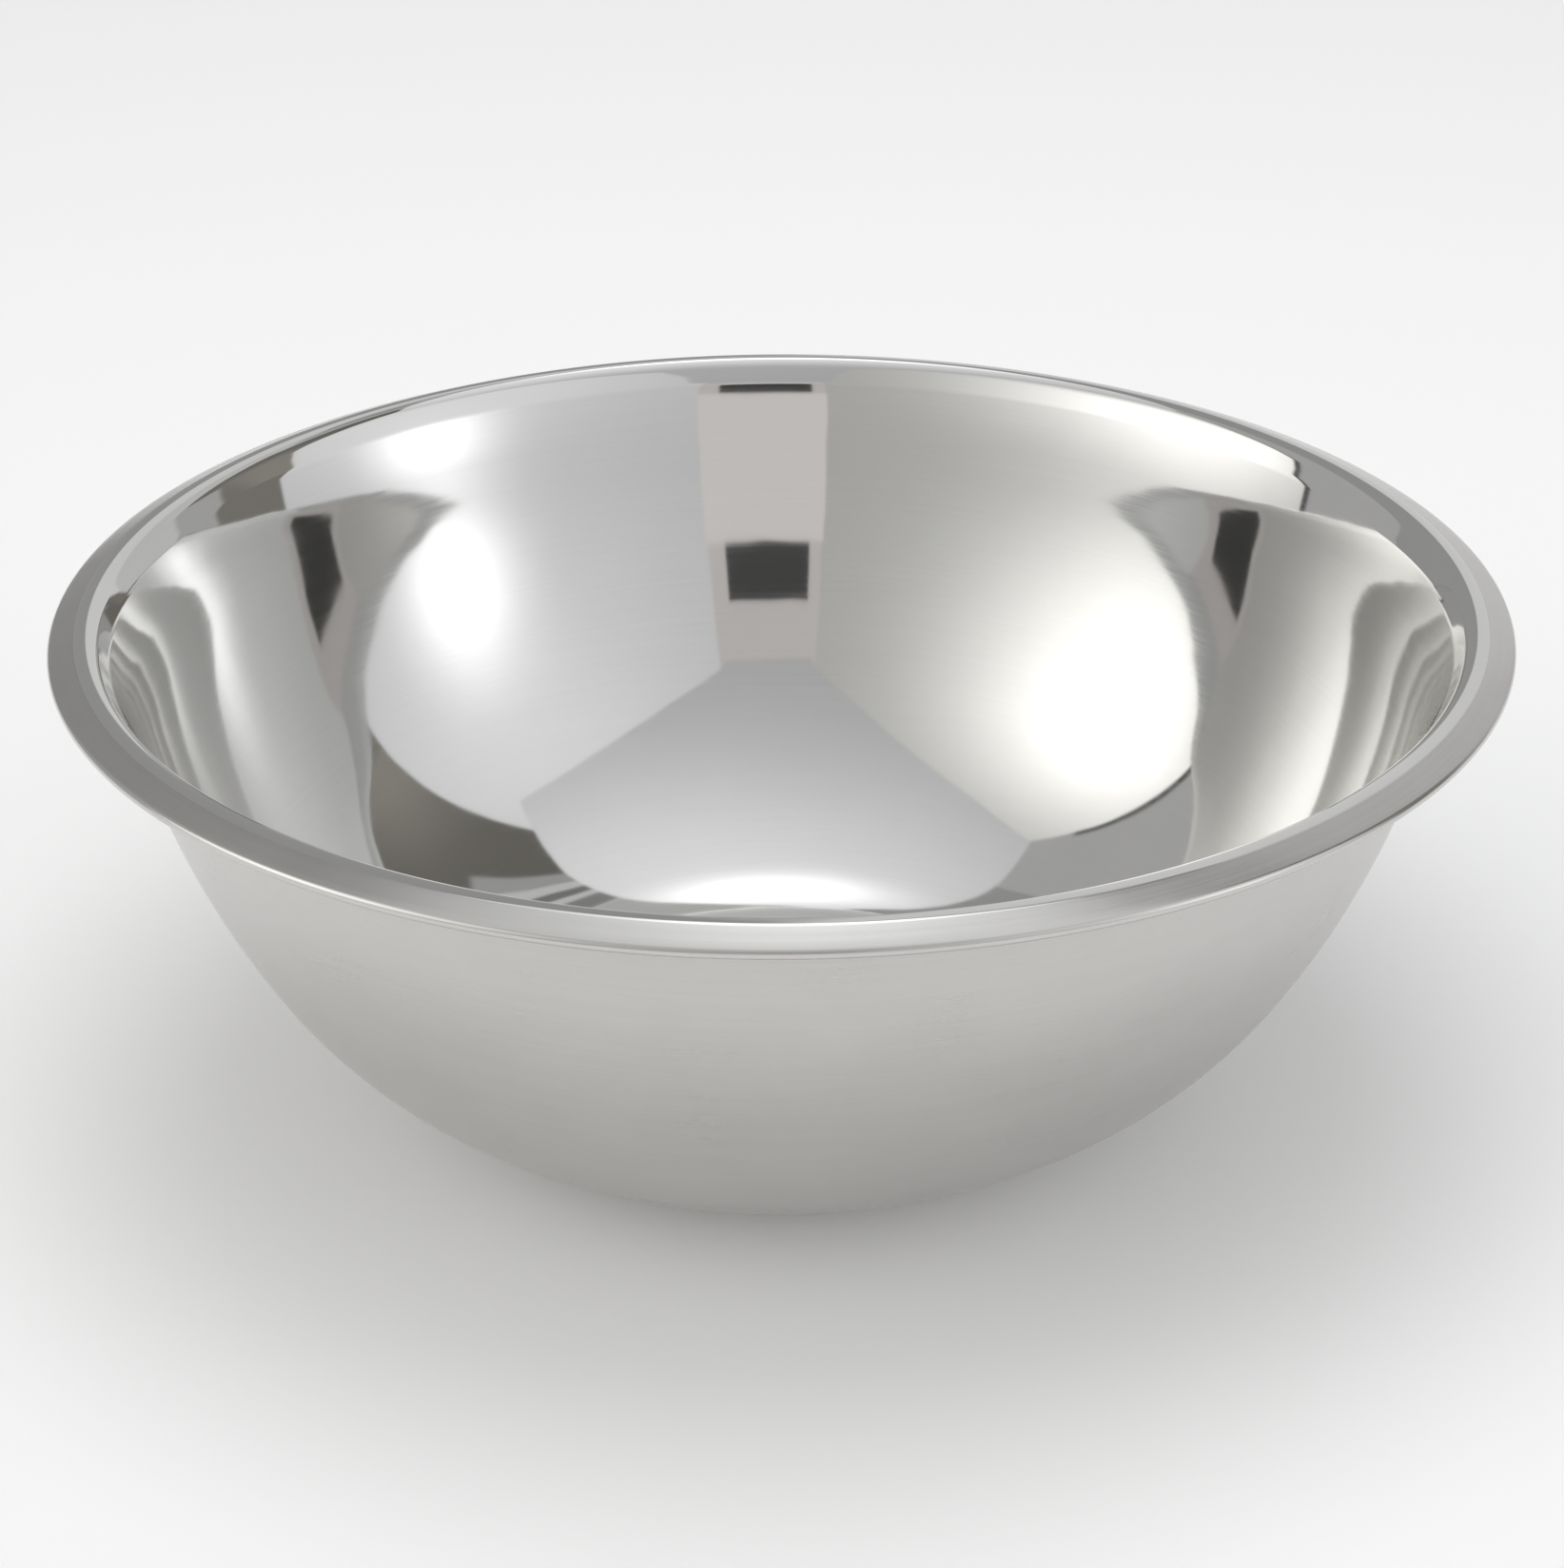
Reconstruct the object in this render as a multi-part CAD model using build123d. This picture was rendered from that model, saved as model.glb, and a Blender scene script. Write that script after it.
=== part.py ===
"""Eight-quart mixing bowl, spun from one disc of stainless sheet.

The section of the sheet is drawn along its middle line, from the raw edge inside the rolled bead,
over the flange, down the wall and across the flat base to the axis. The line is thickened to the
sheet and turned about the axis. Millimetres and degrees. The origin is the centre of the base's
underside, and +Z points up out of the bowl. A lean is an angle from the vertical.
"""
from math import cos, radians, sin
import os

from build123d import *

# Driving dimensions
SHEET = 0.8  # thickness of the stainless sheet
RIM_DIAMETER = 337.0  # 13 1/4 in, over the rolled bead
HEIGHT = 122.5  # base to the highest ring of the flange

# Flange and rolled bead
MOUTH_BEND_RADIUS = 4.5  # outside of the soft bend between wall and flange
FLANGE_SLOPE = 22.0  # the flange falls away from the mouth, below the horizontal
FLANGE_FLAT = 5.8  # straight run of the flange along its slope
BEAD_DIAMETER = 2.5  # over the rolled bead
BEAD_TURN = 250.0  # how far the edge is curled under

# Wall and base, outside radii of the curves and the leans where they meet
LIP_LEAN = 31.0
LIP_STRAIGHT = 3.5  # straight run of the lip, under the mouth bend
CREASE_RADIUS = 8.0  # the slight crease that the rim tool leaves under the lip
CREASE_LEAN = 21.5
FLARE_RADIUS = 120.0
WALL_LEAN = 15.5
SHOULDER_RADIUS = 192.0
SHOULDER_LEAN = 32.0
HAUNCH_RADIUS = 105.0
HAUNCH_LEAN = 59.0
HEEL_RADIUS = 75.0
BASE_LEAN = 90.0

HALF_SHEET = SHEET / 2
RIM_RADIUS = RIM_DIAMETER / 2
BEAD_LINE_RADIUS = BEAD_DIAMETER / 2 - HALF_SHEET
MOUTH_LINE_RADIUS = MOUTH_BEND_RADIUS - HALF_SHEET
MOUTH_TURN = FLANGE_SLOPE + 90.0 - LIP_LEAN

# The two curves between the lip and the straight wall, which both bend the same way as the mouth:
# radius, lean at the top, lean at the bottom
LIP_CURVES = [
    (CREASE_RADIUS, LIP_LEAN, CREASE_LEAN),
    (FLARE_RADIUS, CREASE_LEAN, WALL_LEAN),
]

# The three curves under the straight wall: outside radius, lean at the top, lean at the bottom
WALL_CURVES = [
    (SHOULDER_RADIUS, WALL_LEAN, SHOULDER_LEAN),
    (HAUNCH_RADIUS, SHOULDER_LEAN, HAUNCH_LEAN),
    (HEEL_RADIUS, HAUNCH_LEAN, BASE_LEAN),
]


def sine(angle):
    return sin(radians(angle))


def cosine(angle):
    return cos(radians(angle))


def straight_wall_length():
    """Length of the straight wall that is left once the curves have taken their share of the height."""
    curved = sum(
        (radius - HALF_SHEET) * (sine(low) - sine(high)) for radius, high, low in WALL_CURVES
    )
    mouth_rise = MOUTH_LINE_RADIUS * (1 - sine(LIP_LEAN))
    lip_rise = LIP_STRAIGHT * cosine(LIP_LEAN) + sum(
        (radius - HALF_SHEET) * (sine(high) - sine(low)) for radius, high, low in LIP_CURVES
    )
    return (HEIGHT - SHEET - curved - mouth_rise - lip_rise) / cosine(WALL_LEAN)


def bead_and_flange():
    """Middle line from the raw edge, round the bead and up the flange to the wall, rim inwards."""
    centre_x = RIM_RADIUS - BEAD_DIAMETER / 2
    bead_meets_flange = 90.0 - FLANGE_SLOPE
    raw_edge = bead_meets_flange - BEAD_TURN
    bead = CenterArc((centre_x, 0), BEAD_LINE_RADIUS, raw_edge, BEAD_TURN)
    flange = Line(bead @ 1, bead @ 1 + (bead % 1) * FLANGE_FLAT)
    mouth = JernArc(flange @ 1, flange % 1, MOUTH_LINE_RADIUS, MOUTH_TURN)
    return [bead, flange, mouth]


def wall_and_base(mouth):
    """Middle line from the mouth bend down the lip and wall, round the heel and in to the axis."""
    pieces = [Line(mouth @ 1, mouth @ 1 + (mouth % 1) * LIP_STRAIGHT)]
    for radius, high, low in LIP_CURVES:
        pieces.append(JernArc(pieces[-1] @ 1, pieces[-1] % 1, radius - HALF_SHEET, high - low))
    wall_top = pieces[-1]
    pieces.append(Line(wall_top @ 1, wall_top @ 1 + (wall_top % 1) * straight_wall_length()))
    for radius, high, low in WALL_CURVES:
        pieces.append(JernArc(pieces[-1] @ 1, pieces[-1] % 1, radius - HALF_SHEET, high - low))
    heel_end = pieces[-1] @ 1
    pieces.append(Line(heel_end, (0, heel_end.Y)))
    return pieces


def sheet_section():
    """Face of the whole section, in the X-Z plane, with the underside of the base at zero."""
    rim = bead_and_flange()
    line = Wire(rim + wall_and_base(rim[-1]))
    section = trace(line, SHEET)
    return Plane.XZ * Pos(0, -section.bounding_box().min.Y) * section


def bowl():
    return revolve(sheet_section(), axis=Axis.Z)


def main():
    os.makedirs("parts", exist_ok=True)
    export_step(bowl(), "parts/bowl.step")


main()
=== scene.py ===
"""Stainless mixing bowl: a Blender add-on layout that builds the bowl and the light tent it stands in.

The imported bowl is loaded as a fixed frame. The bowl shown is one closed sheet, turned from the same
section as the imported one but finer, so that its bright inside mirrors the tent without facets.
Metres and radians, +Z up, the base's underside centred on the origin.
"""
from math import cos, pi, radians, sin

import bpy
from bpy.props import FloatProperty, FloatVectorProperty, PointerProperty
from mathutils import Matrix, Vector


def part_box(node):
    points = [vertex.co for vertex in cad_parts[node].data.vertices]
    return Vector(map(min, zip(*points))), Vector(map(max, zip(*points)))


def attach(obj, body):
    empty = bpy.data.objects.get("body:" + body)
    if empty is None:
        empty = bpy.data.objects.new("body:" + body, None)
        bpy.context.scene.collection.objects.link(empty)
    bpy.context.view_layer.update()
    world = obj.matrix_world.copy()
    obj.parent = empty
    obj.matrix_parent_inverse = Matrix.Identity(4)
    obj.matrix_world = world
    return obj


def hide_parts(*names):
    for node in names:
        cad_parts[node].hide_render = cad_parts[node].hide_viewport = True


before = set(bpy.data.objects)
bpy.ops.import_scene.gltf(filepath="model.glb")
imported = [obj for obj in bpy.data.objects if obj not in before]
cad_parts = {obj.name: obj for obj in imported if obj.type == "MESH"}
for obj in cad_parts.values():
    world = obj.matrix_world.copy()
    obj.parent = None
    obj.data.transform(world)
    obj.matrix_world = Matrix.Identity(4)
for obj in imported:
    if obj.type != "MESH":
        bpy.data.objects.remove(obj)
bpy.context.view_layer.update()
BOWL_LOW, BOWL_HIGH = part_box("bowl")

bl_info = {
    "name": "Spun Mixing Bowl",
    "version": (1, 0, 0),
    "blender": (4, 5, 0),
    "location": "View3D > Sidebar > Mixing Bowl",
    "description": "Adds a spun stainless mixing bowl and the light tent it stands in",
    "category": "Add Mesh",
}

MM = 0.001
RIM_RADIUS = min(BOWL_HIGH.x, -BOWL_LOW.x, BOWL_HIGH.y, -BOWL_LOW.y)
BOWL_HEIGHT = BOWL_HIGH.z - BOWL_LOW.z

# Faces round the bowl, and the longest step along its section in each stretch
TURN_STEPS = 420
WALL_STEP = 3.0 * MM
BEND_STEPS = 14
LIP_STEPS = 8
BASE_STEPS = 6
BEAD_STEPS = 20

INSIDE, FLANGE, OUTSIDE = 0, 1, 2


class BowlShape(bpy.types.PropertyGroup):
    """Sizes of the sheet's section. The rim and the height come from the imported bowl."""

    rim_radius: FloatProperty(
        name="Rim Radius", description="Over the rolled bead", default=RIM_RADIUS, unit="LENGTH", precision=4
    )
    height: FloatProperty(
        name="Height", description="Base to the top of the flange", default=BOWL_HEIGHT, unit="LENGTH", precision=4
    )
    sheet: FloatProperty(
        name="Sheet", description="Thickness of the sheet", default=0.8 * MM, unit="LENGTH", precision=5
    )
    mouth_bend: FloatProperty(
        name="Mouth Bend",
        description="Outside radius of the bend between wall and flange",
        default=4.5 * MM,
        unit="LENGTH",
        precision=4,
    )
    flange_slope: FloatProperty(
        name="Flange Slope", description="Fall of the flange to its edge", default=radians(22.0), subtype="ANGLE"
    )
    flange_flat: FloatProperty(
        name="Flange Flat", description="Straight run of the flange", default=5.8 * MM, unit="LENGTH", precision=4
    )
    bead: FloatProperty(
        name="Bead", description="Diameter over the rolled bead", default=2.5 * MM, unit="LENGTH", precision=4
    )
    bead_turn: FloatProperty(
        name="Bead Turn", description="How far the edge is curled under", default=radians(250.0), subtype="ANGLE"
    )
    lip_straight: FloatProperty(
        name="Lip", description="Straight run under the mouth bend", default=3.5 * MM, unit="LENGTH", precision=4
    )
    lip_lean: FloatProperty(
        name="Lip Lean", description="Lean of the lip", default=radians(31.0), subtype="ANGLE"
    )
    wall_lean: FloatProperty(
        name="Wall Lean", description="Lean of the straight wall", default=radians(15.5), subtype="ANGLE"
    )
    unevenness: FloatProperty(
        name="Unevenness",
        description="How far the spun wall strays from true round",
        default=0.03 * MM,
        unit="LENGTH",
        precision=5,
    )


class BowlFinish(bpy.types.PropertyGroup):
    """Colours and polish of the steel."""

    inside_colour: FloatVectorProperty(
        name="Inside", description="Colour of the bright inside", subtype="COLOR", default=(0.72, 0.716, 0.705)
    )
    outside_colour: FloatVectorProperty(
        name="Outside", description="Colour of the satin outside", subtype="COLOR", default=(0.62, 0.61, 0.595)
    )
    inside_roughness: FloatProperty(
        name="Inside Roughness", description="Polish of the inside", default=0.05, min=0.0, max=1.0
    )
    flange_roughness: FloatProperty(
        name="Flange Roughness", description="Polish of the flange", default=0.22, min=0.0, max=1.0
    )
    outside_roughness: FloatProperty(
        name="Outside Roughness", description="Polish of the outside", default=0.3, min=0.0, max=1.0
    )


class LightTent(bpy.types.PropertyGroup):
    """Brightness of the tent and the floor."""

    tent_strength: FloatProperty(
        name="Tent Strength", description="Brightness of all the tent's panels", default=0.92, min=0.0
    )
    lamp_power: FloatProperty(
        name="Lamp", description="Soft lamp over the floor", default=7.0, min=0.0, unit="POWER"
    )
    floor_glow: FloatProperty(
        name="Floor Glow", description="Light that comes up through the floor sheet", default=0.1, min=0.0
    )
    floor_colour: FloatVectorProperty(
        name="Floor", description="Colour of the floor", subtype="COLOR", default=(0.86, 0.86, 0.86)
    )


# ---------------------------------------------------------------------------------------------
# The bowl's section
# ---------------------------------------------------------------------------------------------


class SheetLine:
    """Middle line of the sheet in (radius, height), grown stretch by stretch with its heading."""

    def __init__(self, start, heading):
        self.points = [Vector(start)]
        self.headings = [heading]
        self.zones = [FLANGE]

    def straight(self, length, steps, zone):
        start, heading = self.points[-1], self.headings[-1]
        for step in range(1, steps + 1):
            reach = length * step / steps
            self.points.append(start + reach * Vector((cos(heading), sin(heading))))
            self.headings.append(heading)
            self.zones.append(zone)

    def bend(self, radius, turn, steps, zone):
        """Arc of that radius. A positive turn is anticlockwise."""
        side = 1 if turn > 0 else -1
        start, heading = self.points[-1], self.headings[-1]
        centre = start + side * radius * Vector((-sin(heading), cos(heading)))
        for step in range(1, steps + 1):
            here = heading + turn * step / steps
            self.points.append(centre + side * radius * Vector((sin(here), -cos(here))))
            self.headings.append(here)
            self.zones.append(zone)


def wall_curves(shape):
    """Outside radius, lean at the top and lean at the bottom of the curves under the straight wall."""
    shoulder_lean, haunch_lean = radians(32.0), radians(59.0)
    return [
        (192.0 * MM, shape.wall_lean, shoulder_lean),
        (105.0 * MM, shoulder_lean, haunch_lean),
        (75.0 * MM, haunch_lean, pi / 2),
    ]


def lip_curves(shape):
    """The same for the slight crease and the long flare between the lip and the straight wall."""
    crease_lean = radians(21.5)
    return [
        (8.0 * MM, shape.lip_lean, crease_lean),
        (120.0 * MM, crease_lean, shape.wall_lean),
    ]


def straight_wall_length(shape):
    half = shape.sheet / 2
    curved = sum((radius - half) * (sin(low) - sin(high)) for radius, high, low in wall_curves(shape))
    mouth_rise = (shape.mouth_bend - half) * (1 - sin(shape.lip_lean))
    lip_rise = shape.lip_straight * cos(shape.lip_lean)
    lip_rise += sum((radius - half) * (sin(high) - sin(low)) for radius, high, low in lip_curves(shape))
    return (shape.height - shape.sheet - curved - mouth_rise - lip_rise) / cos(shape.wall_lean)


def steps_for(length):
    return max(2, round(length / WALL_STEP))


def sheet_line(shape):
    """Raw edge, round the bead, up the flange, over the mouth, down the wall and in to the axis."""
    half = shape.sheet / 2
    bead_radius = shape.bead / 2 - half
    raw_edge = pi / 2 - shape.flange_slope - shape.bead_turn
    centre = Vector((shape.rim_radius - shape.bead / 2, 0))
    start = centre + bead_radius * Vector((cos(raw_edge), sin(raw_edge)))
    line = SheetLine(start, raw_edge + pi / 2)
    line.bend(bead_radius, shape.bead_turn, BEAD_STEPS, FLANGE)
    line.straight(shape.flange_flat, 3, FLANGE)
    line.bend(shape.mouth_bend - half, shape.flange_slope + pi / 2 - shape.lip_lean, BEND_STEPS, INSIDE)
    line.straight(shape.lip_straight, 2, INSIDE)
    for radius, high, low in lip_curves(shape):
        line.bend(radius - half, high - low, LIP_STEPS, INSIDE)
    wall = straight_wall_length(shape)
    line.straight(wall, steps_for(wall), INSIDE)
    for radius, high, low in wall_curves(shape):
        run = (radius - half) * (low - high)
        line.bend(radius - half, high - low, steps_for(run), INSIDE)
    base = line.points[-1].x
    line.straight(base, BASE_STEPS, INSIDE)
    drop = half - line.points[-1].y
    for point in line.points:
        point.y += drop
    return line


def closed_section(shape):
    """[(radius, height, stray, zone)] of both faces: outer face from the raw edge to the axis, then back
    along the inner face. Stray says how much of the unevenness a point gets, none at base and rim."""
    line = sheet_line(shape)
    half = shape.sheet / 2
    outer, inner = [], []
    for point, heading, zone in zip(line.points, line.headings, line.zones):
        left = Vector((-sin(heading), cos(heading)))
        depth = (shape.height - point.y) / shape.height
        stray = max(0.0, sin(pi * min(1.0, (depth - 0.04) * 1.1))) ** 0.7 if zone == INSIDE and depth > 0.04 else 0.0
        stray *= min(1.0, point.x / (90.0 * MM)) ** 2
        outer.append((point + half * left, left, stray, OUTSIDE))
        inner.append((point - half * left, left, stray, zone))
    return outer, inner


def stray_at(angle, height, amount):
    """How far the spun wall is off true, in metres: a few broad lobes and fine rings."""
    lobes = 0.55 * sin(3 * angle + 0.7) + 0.35 * sin(5 * angle + 2.1 + 14 * height)
    lobes += 0.22 * sin(8 * angle + 4.0 - 31 * height) + 0.12 * sin(13 * angle + 1.3 + 60 * height)
    rings = 0.10 * sin(height / (3.1 * MM) + 0.8 * sin(2 * angle)) + 0.14 * sin(height / (7.3 * MM) + 1.1)
    return amount * (lobes + rings)


def build_bowl_mesh(shape):
    outer, inner = closed_section(shape)
    vertices, faces, zones = [], [], []

    def ring(point, left, stray):
        first = len(vertices)
        for step in range(TURN_STEPS):
            angle = 2 * pi * step / TURN_STEPS
            off = stray * stray_at(angle, point.y, shape.unevenness)
            radius, height = point.x + off * left.x, point.y + off * left.y
            vertices.append((radius * cos(angle), radius * sin(angle), height))
        return first

    def band(first, second, zone):
        for step in range(TURN_STEPS):
            after = (step + 1) % TURN_STEPS
            faces.append((first + step, first + after, second + after, second + step))
            zones.append(zone)

    def cap(first, height, zone, facing_up):
        pole = len(vertices)
        vertices.append((0.0, 0.0, height))
        for step in range(TURN_STEPS):
            after = (step + 1) % TURN_STEPS
            corner = (first + step, first + after) if facing_up else (first + after, first + step)
            faces.append((*corner, pole))
            zones.append(zone)

    outer_rings = [ring(point, left, stray) for point, left, stray, zone in outer[:-1]]
    inner_rings = [ring(point, left, stray) for point, left, stray, zone in inner[:-1]]
    for index in range(len(outer_rings) - 1):
        band(outer_rings[index + 1], outer_rings[index], OUTSIDE)
        band(inner_rings[index], inner_rings[index + 1], inner[index + 1][3])
    band(outer_rings[0], inner_rings[0], FLANGE)
    cap(outer_rings[-1], outer[-1][0].y, OUTSIDE, facing_up=False)
    cap(inner_rings[-1], inner[-1][0].y, INSIDE, facing_up=True)

    mesh = bpy.data.meshes.new("bowl_sheet")
    mesh.from_pydata(vertices, [], faces)
    mesh.polygons.foreach_set("use_smooth", [True] * len(faces))
    mesh.polygons.foreach_set("material_index", zones)
    mesh.validate()
    mesh.update()
    return mesh


# ---------------------------------------------------------------------------------------------
# Node wiring
# ---------------------------------------------------------------------------------------------


class Wiring:
    """Adds nodes to one node tree and links them. An input is a number, a colour or another node's socket."""

    def __init__(self, tree):
        self.tree = tree
        tree.nodes.clear()

    def add(self, kind, **settings):
        node = self.tree.nodes.new(kind)
        for name, value in settings.items():
            setattr(node, name, value)
        return node

    def feed(self, socket, value):
        if isinstance(value, bpy.types.NodeSocket):
            self.tree.links.new(value, socket)
        else:
            socket.default_value = value

    def math(self, operation, first, second=0.0, clamp=False):
        node = self.add("ShaderNodeMath", operation=operation, use_clamp=clamp)
        self.feed(node.inputs[0], first)
        self.feed(node.inputs[1], second)
        return node.outputs[0]

    def product(self, *factors):
        result = factors[0]
        for factor in factors[1:]:
            result = self.math("MULTIPLY", result, factor)
        return result

    def dot(self, vector, direction):
        node = self.add("ShaderNodeVectorMath", operation="DOT_PRODUCT")
        self.feed(node.inputs[0], vector)
        node.inputs[1].default_value = direction
        return node.outputs["Value"]

    def step(self, value, low, high, to_low=0.0, to_high=1.0):
        """Smooth step of value from to_low at low to to_high at high."""
        node = self.add("ShaderNodeMapRange", interpolation_type="SMOOTHSTEP")
        self.feed(node.inputs["Value"], value)
        for name, number in zip(("From Min", "From Max", "To Min", "To Max"), (low, high, to_low, to_high)):
            node.inputs[name].default_value = number
        return node.outputs[0]

    def mix(self, factor, first, second):
        node = self.add("ShaderNodeMix", data_type="RGBA")
        self.feed(node.inputs["Factor"], factor)
        self.feed(node.inputs["A"], first)
        self.feed(node.inputs["B"], second)
        return node.outputs["Result"]

    def noise(self, vector, scale, detail=2.0, roughness=0.5):
        node = self.add("ShaderNodeTexNoise")
        self.feed(node.inputs["Vector"], vector)
        node.inputs["Scale"].default_value = scale
        node.inputs["Detail"].default_value = detail
        node.inputs["Roughness"].default_value = roughness
        return node.outputs["Fac"]


# ---------------------------------------------------------------------------------------------
# Steel
# ---------------------------------------------------------------------------------------------


def spin_vector(wires, around, along):
    """Coordinates for marks left by spinning: they change slowly round the bowl and fast down its wall.

    around and along are how many noise cells fit the bowl's turn and a metre of its height."""
    place = wires.add("ShaderNodeTexCoord").outputs["Object"]
    split = wires.add("ShaderNodeSeparateXYZ")
    wires.feed(split.inputs[0], place)
    flat = wires.add("ShaderNodeCombineXYZ")
    wires.feed(flat.inputs["X"], split.outputs["X"])
    wires.feed(flat.inputs["Y"], split.outputs["Y"])
    reach = wires.add("ShaderNodeVectorMath", operation="LENGTH")
    wires.feed(reach.inputs[0], flat.outputs[0])
    radius = reach.outputs["Value"]
    unit = wires.add("ShaderNodeVectorMath", operation="NORMALIZE")
    wires.feed(unit.inputs[0], flat.outputs[0])
    turned = wires.add("ShaderNodeSeparateXYZ")
    wires.feed(turned.inputs[0], unit.outputs[0])
    depth = wires.math("SUBTRACT", radius, split.outputs["Z"])
    packed = wires.add("ShaderNodeCombineXYZ")
    wires.feed(packed.inputs["X"], wires.product(turned.outputs["X"], around))
    wires.feed(packed.inputs["Y"], wires.product(turned.outputs["Y"], around))
    wires.feed(packed.inputs["Z"], wires.product(depth, along))
    return packed.outputs[0]


def steel(name, colour, roughness, anisotropy, roughness_spread, shade, bump, dents):
    """Polished or satin stainless steel with the fine rings that spinning and buffing leave."""
    material = bpy.data.materials.new(name)
    material.use_nodes = True
    wires = Wiring(material.node_tree)
    shader = wires.add("ShaderNodeBsdfPrincipled")
    surface = wires.add("ShaderNodeOutputMaterial")
    wires.feed(surface.inputs["Surface"], shader.outputs[0])
    shader.inputs["Metallic"].default_value = 1.0
    shader.inputs["Anisotropic"].default_value = anisotropy
    shader.inputs["Anisotropic Rotation"].default_value = 0.25
    tangent = wires.add("ShaderNodeTangent", direction_type="RADIAL", axis="Z")
    wires.feed(shader.inputs["Tangent"], tangent.outputs[0])

    rings = wires.noise(spin_vector(wires, 2.5, 2600.0), 1.0, 3.0, 0.6)
    place = wires.add("ShaderNodeTexCoord").outputs["Object"]
    clouds = wires.noise(place, 38.0, 4.0, 0.55)
    tone = wires.math("ADD", wires.product(rings, 0.5), wires.product(clouds, 0.5))
    dark = [channel * (1 - 1.5 * shade) for channel in colour] + [1.0]
    light = [min(1.0, channel * (1 + shade)) for channel in colour] + [1.0]
    wires.feed(shader.inputs["Base Color"], wires.mix(wires.step(tone, 0.3, 0.7), dark, light))
    low, high = roughness - roughness_spread, roughness + roughness_spread
    wires.feed(shader.inputs["Roughness"], wires.step(tone, 0.3, 0.7, low, high))
    ridge = wires.add("ShaderNodeBump")
    ridge.inputs["Strength"].default_value = bump
    ridge.inputs["Distance"].default_value = 0.02 * MM
    wires.feed(ridge.inputs["Height"], rings)
    beaten = wires.add("ShaderNodeBump")
    beaten.inputs["Strength"].default_value = dents
    beaten.inputs["Distance"].default_value = 0.1 * MM
    wires.feed(beaten.inputs["Height"], wires.noise(place, 70.0, 1.0, 0.3))
    wires.feed(ridge.inputs["Normal"], beaten.outputs[0])
    wires.feed(shader.inputs["Normal"], ridge.outputs[0])
    return material


class MIXINGBOWL_OT_add_bowl(bpy.types.Operator):
    """Add the bowl: one spun sheet with flange and rolled bead"""

    bl_idname = "mixingbowl.add_bowl"
    bl_label = "Add Bowl"

    def execute(self, context):
        shape, finish = context.scene.bowl_shape, context.scene.bowl_finish
        bowl = bpy.data.objects.new("mixing_bowl", build_bowl_mesh(shape))
        context.scene.collection.objects.link(bowl)
        bowl.data.materials.append(
            steel("bright_inside", finish.inside_colour, finish.inside_roughness, 0.5, 0.015, 0.012, 0.02, 0.35)
        )
        bowl.data.materials.append(
            steel("satin_flange", finish.outside_colour, finish.flange_roughness, 0.4, 0.03, 0.03, 0.12, 0.3)
        )
        bowl.data.materials.append(
            steel("satin_outside", finish.outside_colour, finish.outside_roughness, 0.3, 0.03, 0.025, 0.12, 0.3)
        )
        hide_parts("bowl")
        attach(bowl, "root")
        return {"FINISHED"}


# ---------------------------------------------------------------------------------------------
# Stage
# ---------------------------------------------------------------------------------------------


def towards(azimuth, elevation):
    """Unit vector. Azimuth in degrees from the camera's side (-Y) towards +X, elevation from the floor."""
    azimuth, elevation = radians(azimuth), radians(elevation)
    return Vector((sin(azimuth) * cos(elevation), -cos(azimuth) * cos(elevation), sin(elevation)))


class Panel:
    """An upright panel of the tent as the bowl sees it: azimuths of its sides, elevations of its bottom and
    top, tint, even glow, and hot spots of (direction, width in degrees, brightness)."""

    def __init__(self, left, right, bottom, top, tint, glow, spots=(), edge=0.5):
        self.left = left
        self.right = right
        self.bottom = bottom
        self.top = top
        self.tint = tint
        self.glow = glow
        self.spots = spots
        self.edge = radians(edge)


NEUTRAL = (1.0, 1.0, 1.0)
COOL = (0.98, 0.99, 1.0)
WARM = (1.0, 0.995, 0.97)
ROSE = (1.0, 0.96, 0.95)
BROWN = (1.0, 0.955, 0.86)

# Painted in this order, later ones over earlier ones
UPRIGHT_PANELS = [
    Panel(148, 180, -20, 70, NEUTRAL, 0.78, edge=1.5),
    Panel(180, 232, -20, 70, NEUTRAL, 0.38, edge=1.5),
    Panel(228, 257, -20, 70, NEUTRAL, 0.50),
    Panel(126, 149, -20, 70, NEUTRAL, 0.66, edge=1.0),
    Panel(97, 127, 19, 66, BROWN, 0.17, [(towards(104, 22), 16.0, 0.15)], edge=1.0),
    Panel(97, 117, -20, 20, BROWN, 0.24, edge=1.0),
    Panel(116, 128, -20, 20, NEUTRAL, 0.48, edge=1.0),
    Panel(121, 127, 44, 66, NEUTRAL, 0.42, edge=0.6),
    Panel(133, 138, 50, 66, NEUTRAL, 0.22, edge=0.5),
    Panel(142, 151, 52, 66, NEUTRAL, 0.28, edge=0.5),
    Panel(151, 177, 52, 66, NEUTRAL, 0.55, edge=1.0),
    Panel(253.6, 256.4, -20, 47, NEUTRAL, 0.12),
    Panel(
        -105.0, -7.3, -20, 70, WARM, 0.54, [(towards(-86, 26), 24.0, 1.25), (towards(-60, 32), 25.0, 0.5)], edge=0.4
    ),
    Panel(
        12.6, 99.5, -20, 70, COOL, 0.64, [(towards(72, 38), 40.0, 0.37), (towards(67, 14), 11.0, 1.15)], edge=0.5
    ),
    Panel(-8.3, 14.9, -20, 45, ROSE, 0.64, edge=0.3),
    Panel(-8.6, 15.2, -20, 20.6, ROSE, 0.78, edge=0.3),
    Panel(-5.9, 11.4, 20.9, 29.3, NEUTRAL, 0.075, edge=0.25),
]

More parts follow.
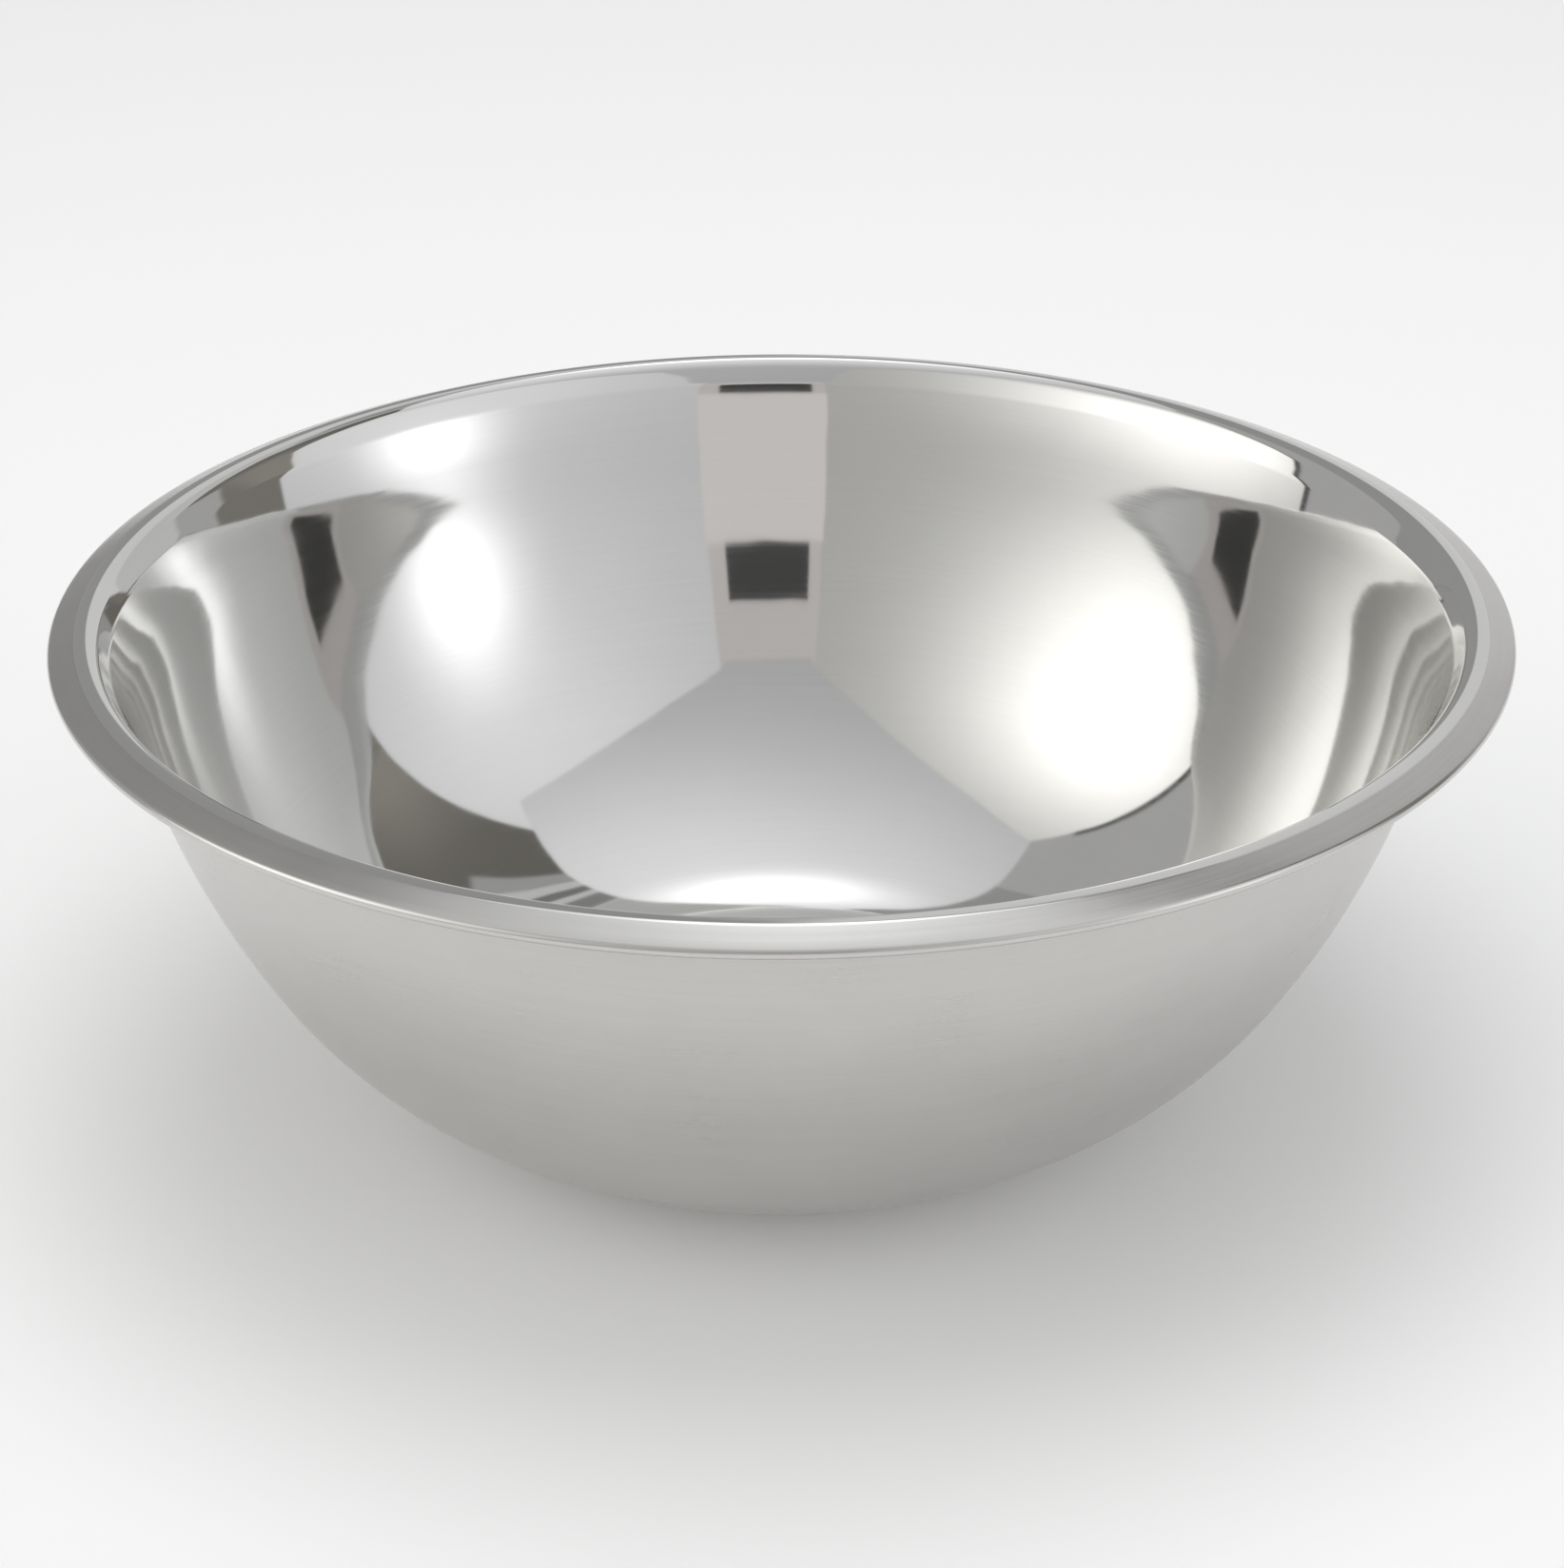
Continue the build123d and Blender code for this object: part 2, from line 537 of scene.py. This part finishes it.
# Where the ceiling meets the walls: azimuth square to each seam and the tangent of its elevation there
CEILING_SEAMS = [(2.5, 0.79), (65, 1.26), (140, 1.80), (222, 1.66), (-70, 1.72)]
CEILING_GLOW = 0.49
CEILING_SPOTS = [(towards(150, 72), 44.0, 0.54), (towards(178, 63), 7.5, 1.3)]


def sides_mask(wires, way, panel):
    """One between the panel's sides, bottom and top, and nothing outside."""
    from_left = Vector((cos(radians(panel.left)), sin(radians(panel.left)), 0.0))
    from_right = -Vector((cos(radians(panel.right)), sin(radians(panel.right)), 0.0))
    rise = wires.dot(way, (0.0, 0.0, 1.0))
    low, high = sin(radians(panel.bottom)), sin(radians(panel.top))
    return wires.product(
        wires.step(wires.dot(way, from_left), -panel.edge, panel.edge),
        wires.step(wires.dot(way, from_right), -panel.edge, panel.edge),
        wires.step(rise, low - panel.edge, low + panel.edge),
        wires.step(rise, high - panel.edge, high + panel.edge, 1.0, 0.0),
    )


def ceiling_mask(wires, way):
    masks = []
    for azimuth, tangent in CEILING_SEAMS:
        outward = towards(azimuth, 0.0) * tangent
        upward = (Vector((0.0, 0.0, 1.0)) - outward).normalized()
        masks.append(wires.step(wires.dot(way, upward), -0.006, 0.006))
    return wires.product(*masks)


def glow_of(wires, way, glow, spots):
    """Even glow with round hot spots."""
    for middle, width, strength in spots:
        closeness = wires.dot(way, middle)
        fall = wires.math("DIVIDE", wires.math("SUBTRACT", closeness, 1.0), 1 - cos(radians(width)))
        spot = wires.product(wires.math("EXPONENT", fall), strength)
        glow = wires.math("ADD", spot, glow)
    return glow


def tinted(wires, tint, glow):
    scale = wires.add("ShaderNodeVectorMath", operation="SCALE")
    scale.inputs[0].default_value = tint
    wires.feed(scale.inputs["Scale"], glow)
    return scale.outputs[0]


def make_tent(strength):
    """World whose light comes from the panels. Seen straight by the camera it is a plain pale room."""
    world = bpy.data.worlds.new("light_tent")
    world.use_nodes = True
    wires = Wiring(world.node_tree)
    way = wires.add("ShaderNodeTexCoord").outputs["Generated"]
    light = (0.6, 0.6, 0.6, 1.0)
    for panel in UPRIGHT_PANELS:
        shine = tinted(wires, panel.tint, glow_of(wires, way, panel.glow, panel.spots))
        light = wires.mix(sides_mask(wires, way, panel), light, shine)
    overhead = tinted(wires, COOL, glow_of(wires, way, CEILING_GLOW, CEILING_SPOTS))
    light = wires.mix(ceiling_mask(wires, way), light, overhead)
    tent = wires.add("ShaderNodeBackground")
    wires.feed(tent.inputs["Color"], light)
    tent.inputs["Strength"].default_value = strength
    room = wires.add("ShaderNodeBackground")
    room.inputs["Color"].default_value = (0.95, 0.95, 0.95, 1.0)
    seen = wires.add("ShaderNodeLightPath").outputs["Is Camera Ray"]
    choice = wires.add("ShaderNodeMixShader")
    wires.feed(choice.inputs[0], seen)
    wires.feed(choice.inputs[1], tent.outputs[0])
    wires.feed(choice.inputs[2], room.outputs[0])
    surface = wires.add("ShaderNodeOutputWorld")
    wires.feed(surface.inputs["Surface"], choice.outputs[0])
    return world


FLOOR_REACH = 6.0
FLOOR_GAP = 0.05 * MM


def make_floor(colour, glow):
    mesh = bpy.data.meshes.new("floor_sheet")
    corners = [(-1, -1), (1, -1), (1, 1), (-1, 1)]
    mesh.from_pydata([(x * FLOOR_REACH, y * FLOOR_REACH, -FLOOR_GAP) for x, y in corners], [], [(0, 1, 2, 3)])
    floor = bpy.data.objects.new("floor", mesh)
    material = bpy.data.materials.new("pale_floor")
    material.use_nodes = True
    wires = Wiring(material.node_tree)
    shader = wires.add("ShaderNodeBsdfPrincipled")
    surface = wires.add("ShaderNodeOutputMaterial")
    wires.feed(surface.inputs["Surface"], shader.outputs[0])
    shader.inputs["Base Color"].default_value = (*colour, 1.0)
    shader.inputs["Roughness"].default_value = 0.8
    shader.inputs["Emission Color"].default_value = (1.0, 1.0, 1.0, 1.0)
    shader.inputs["Emission Strength"].default_value = glow
    mesh.materials.append(material)
    bpy.context.scene.collection.objects.link(floor)
    return floor


# Light that runs round the bright wall meets it many times before it leaves
GLOSSY_BOUNCES = 24

LAMP_SIDE = 1.1
LAMP_HEIGHT = 1.5


def make_lamp(power):
    """Soft lamp over the floor, kept out of the steel's reflections."""
    data = bpy.data.lights.new("overhead_lamp", "AREA")
    data.size = LAMP_SIDE
    data.energy = power
    lamp = bpy.data.objects.new("overhead_lamp", data)
    lamp.location = (0.0, 0.0, LAMP_HEIGHT)
    lamp.visible_glossy = False
    bpy.context.scene.collection.objects.link(lamp)
    return lamp


# The camera looks over the rim from this height angle and distance, and aims below the rim's centre
CAMERA_HEIGHT_ANGLE = radians(23.41)
CAMERA_DISTANCE = 0.885
CAMERA_PITCH = radians(26.3)
CAMERA_ROLL = radians(-0.227)
CAMERA_LENS_MM = 87.4


def make_camera(rim_height):
    data = bpy.data.cameras.new("studio_camera")
    data.lens = CAMERA_LENS_MM
    data.clip_start = 0.01
    camera = bpy.data.objects.new("studio_camera", data)
    back = Vector((0, -cos(CAMERA_HEIGHT_ANGLE), sin(CAMERA_HEIGHT_ANGLE)))
    forward = Vector((0, cos(CAMERA_PITCH), -sin(CAMERA_PITCH)))
    level, upright = Vector((1, 0, 0)), Vector((1, 0, 0)).cross(forward)
    right = cos(CAMERA_ROLL) * level + sin(CAMERA_ROLL) * upright
    up = cos(CAMERA_ROLL) * upright - sin(CAMERA_ROLL) * level
    turn = Matrix((right, up, -forward)).transposed()
    camera.matrix_world = Matrix.LocRotScale(back * CAMERA_DISTANCE + Vector((0, 0, rim_height)), turn, None)
    bpy.context.scene.collection.objects.link(camera)
    bpy.context.scene.camera = camera
    return camera


class MIXINGBOWL_OT_add_stage(bpy.types.Operator):
    """Add the floor, the light tent and the camera"""

    bl_idname = "mixingbowl.add_stage"
    bl_label = "Add Stage"

    def execute(self, context):
        tent = context.scene.light_tent
        make_floor(tent.floor_colour, tent.floor_glow)
        make_lamp(tent.lamp_power)
        context.scene.world = make_tent(tent.tent_strength)
        make_camera(context.scene.bowl_shape.height)
        context.scene.view_settings.view_transform = "Standard"
        context.scene.cycles.glossy_bounces = GLOSSY_BOUNCES
        context.scene.cycles.max_bounces = GLOSSY_BOUNCES
        return {"FINISHED"}


class MIXINGBOWL_PT_panel(bpy.types.Panel):
    """Sidebar panel with the bowl's sizes and finishes"""

    bl_label = "Mixing Bowl"
    bl_idname = "MIXINGBOWL_PT_panel"
    bl_space_type = "VIEW_3D"
    bl_region_type = "UI"
    bl_category = "Mixing Bowl"

    def draw(self, context):
        scene = context.scene
        for group in (scene.bowl_shape, scene.bowl_finish):
            for name in group.__annotations__:
                self.layout.prop(group, name)
        self.layout.operator(MIXINGBOWL_OT_add_bowl.bl_idname)
        for name in scene.light_tent.__annotations__:
            self.layout.prop(scene.light_tent, name)
        self.layout.operator(MIXINGBOWL_OT_add_stage.bl_idname)


CLASSES = (
    BowlShape,
    BowlFinish,
    LightTent,
    MIXINGBOWL_OT_add_bowl,
    MIXINGBOWL_OT_add_stage,
    MIXINGBOWL_PT_panel,
)


def register():
    for cls in CLASSES:
        bpy.utils.register_class(cls)
    bpy.types.Scene.bowl_shape = PointerProperty(type=BowlShape)
    bpy.types.Scene.bowl_finish = PointerProperty(type=BowlFinish)
    bpy.types.Scene.light_tent = PointerProperty(type=LightTent)


def unregister():
    del bpy.types.Scene.light_tent
    del bpy.types.Scene.bowl_finish
    del bpy.types.Scene.bowl_shape
    for cls in reversed(CLASSES):
        bpy.utils.unregister_class(cls)


def main():
    register()
    bpy.ops.mixingbowl.add_bowl()
    bpy.ops.mixingbowl.add_stage()


if __name__ == "__main__":
    main()
